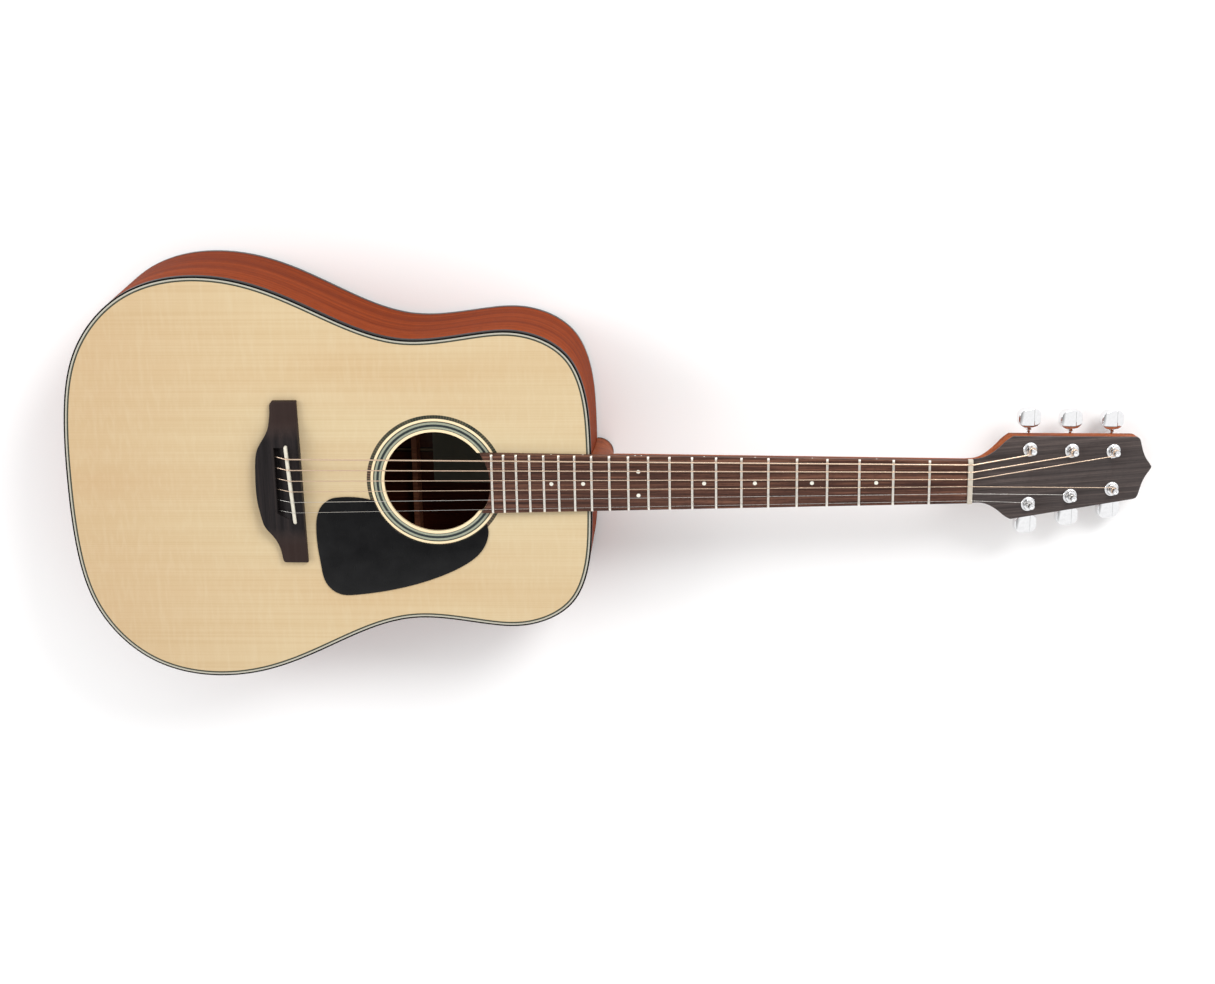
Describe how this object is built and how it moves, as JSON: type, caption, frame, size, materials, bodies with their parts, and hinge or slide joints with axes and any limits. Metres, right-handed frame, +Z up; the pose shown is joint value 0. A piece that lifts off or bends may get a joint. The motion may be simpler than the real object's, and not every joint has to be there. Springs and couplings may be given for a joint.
{
  "type": "acoustic guitar",
  "caption": "Flat-top acoustic guitar: hollow waisted body with a round sound hole, pinless bridge, fretted neck, tilted headstock and geared tuners turned by buttons.",
  "frame": {"origin": "under the middle of the whole length, on the plane of the flat back that the guitar lies on", "axes": "+X towards the headstock, +Y towards the bass strings, +Z up, out of the soundboard's side; the soundboard slopes down 2.7 degrees towards +X because the body is deeper at the tail"},
  "size_m": [1.0606, 0.4054, 0.1289],
  "materials": {
    "spruce": "gloss lacquered straight-grained spruce",
    "dark_wood": "gloss lacquered red-brown wood",
    "mahogany": "satin lacquered mahogany",
    "brace_spruce": "bare spruce",
    "rosewood": "oiled dark rosewood",
    "black_plastic": "black gloss",
    "bone": "off-white, lightly polished",
    "shell_inlay": "ringed inlay under lacquer",
    "chrome": "polished",
    "steel": "plain drawn steel",
    "bronze": "wound wire"
  },
  "bodies": {
    "guitar": {"soundboard": "spruce", "back": "dark_wood", "side_bass": "dark_wood", "side_treble": "dark_wood", "top_binding": "black_plastic", "back_binding": "black_plastic", "top_lining": "mahogany", "back_lining": "mahogany", "neck_block": "mahogany", "tail_block": "mahogany", "x_brace_bass": "brace_spruce", "x_brace_treble": "brace_spruce", "transverse_brace": "brace_spruce", "tone_bar": "brace_spruce", "bridge_plate": "brace_spruce", "back_brace_1": "brace_spruce", "back_brace_2": "brace_spruce", "back_brace_3": "brace_spruce", "rosette": "shell_inlay", "pickguard": "black_plastic", "bridge": "rosewood", "saddle": "bone", "end_pin": "black_plastic", "neck": "mahogany", "heel_cap": "black_plastic", "headstock_overlay": "rosewood", "fretboard": "rosewood", "nut": "bone", "truss_rod": "steel", "string_1": "steel", "string_2": "steel", "string_3": "bronze", "string_4": "bronze", "string_5": "bronze", "string_6": "bronze", "tuner_1_housing": "chrome", "tuner_1_bushing": "chrome", "tuner_2_housing": "chrome", "tuner_2_bushing": "chrome", "tuner_3_housing": "chrome", "tuner_3_bushing": "chrome", "tuner_4_housing": "chrome", "tuner_4_bushing": "chrome", "tuner_5_housing": "chrome", "tuner_5_bushing": "chrome", "tuner_6_housing": "chrome", "tuner_6_bushing": "chrome"},
    "key_1": {"tuner_1_button": "chrome"},
    "post_1": {"tuner_1_post": "chrome"},
    "key_2": {"tuner_2_button": "chrome"},
    "post_2": {"tuner_2_post": "chrome"},
    "key_3": {"tuner_3_button": "chrome"},
    "post_3": {"tuner_3_post": "chrome"},
    "key_4": {"tuner_4_button": "chrome"},
    "post_4": {"tuner_4_post": "chrome"},
    "key_5": {"tuner_5_button": "chrome"},
    "post_5": {"tuner_5_post": "chrome"},
    "key_6": {"tuner_6_button": "chrome"},
    "post_6": {"tuner_6_post": "chrome"},
    "rod_nut": {"truss_rod_nut": "steel"}
  },
  "joints": [
    {"name": "key_1_turn", "type": "hinge", "parent": "guitar", "child": "key_1", "pos_m": [0.41051, -0.0272, 0.04379], "axis": [0, -1, 0], "continuous": true},
    {"name": "post_1_turn", "type": "hinge", "parent": "guitar", "child": "post_1", "pos_m": [0.41106, -0.0272, 0.06423], "axis": [0.2922, 0, 0.9563], "continuous": true},
    {"name": "key_2_turn", "type": "hinge", "parent": "guitar", "child": "key_2", "pos_m": [0.45106, -0.0227, 0.0314], "axis": [0, -1, 0], "continuous": true},
    {"name": "post_2_turn", "type": "hinge", "parent": "guitar", "child": "post_2", "pos_m": [0.45161, -0.0227, 0.05184], "axis": [0.2922, 0, 0.9563], "continuous": true},
    {"name": "key_3_turn", "type": "hinge", "parent": "guitar", "child": "key_3", "pos_m": [0.49161, -0.019, 0.01901], "axis": [0, -1, 0], "continuous": true},
    {"name": "post_3_turn", "type": "hinge", "parent": "guitar", "child": "post_3", "pos_m": [0.49216, -0.019, 0.03945], "axis": [0.2922, 0, 0.9563], "continuous": true},
    {"name": "key_4_turn", "type": "hinge", "parent": "guitar", "child": "key_4", "pos_m": [0.49161, 0.019, 0.01901], "axis": [0, 1, 0], "continuous": true},
    {"name": "post_4_turn", "type": "hinge", "parent": "guitar", "child": "post_4", "pos_m": [0.49216, 0.019, 0.03945], "axis": [0.2922, 0, 0.9563], "continuous": true},
    {"name": "key_5_turn", "type": "hinge", "parent": "guitar", "child": "key_5", "pos_m": [0.45106, 0.0227, 0.0314], "axis": [0, 1, 0], "continuous": true},
    {"name": "post_5_turn", "type": "hinge", "parent": "guitar", "child": "post_5", "pos_m": [0.45161, 0.0227, 0.05184], "axis": [0.2922, 0, 0.9563], "continuous": true},
    {"name": "key_6_turn", "type": "hinge", "parent": "guitar", "child": "key_6", "pos_m": [0.41051, 0.0272, 0.04379], "axis": [0, 1, 0], "continuous": true},
    {"name": "post_6_turn", "type": "hinge", "parent": "guitar", "child": "post_6", "pos_m": [0.41106, 0.0272, 0.06423], "axis": [0.2922, 0, 0.9563], "continuous": true},
    {"name": "rod_nut_turn", "type": "hinge", "parent": "guitar", "child": "rod_nut", "pos_m": [-0.02543, 0, 0.09016], "axis": [-0.9992, 0, 0.0403], "range_deg": [-360, 360]}
  ],
  "couplings": [
    {"joint": "post_1_turn", "follows": "key_1_turn", "ratio": 0.071429},
    {"joint": "post_2_turn", "follows": "key_2_turn", "ratio": 0.071429},
    {"joint": "post_3_turn", "follows": "key_3_turn", "ratio": 0.071429},
    {"joint": "post_4_turn", "follows": "key_4_turn", "ratio": -0.071429},
    {"joint": "post_5_turn", "follows": "key_5_turn", "ratio": -0.071429},
    {"joint": "post_6_turn", "follows": "key_6_turn", "ratio": -0.071429}
  ]
}
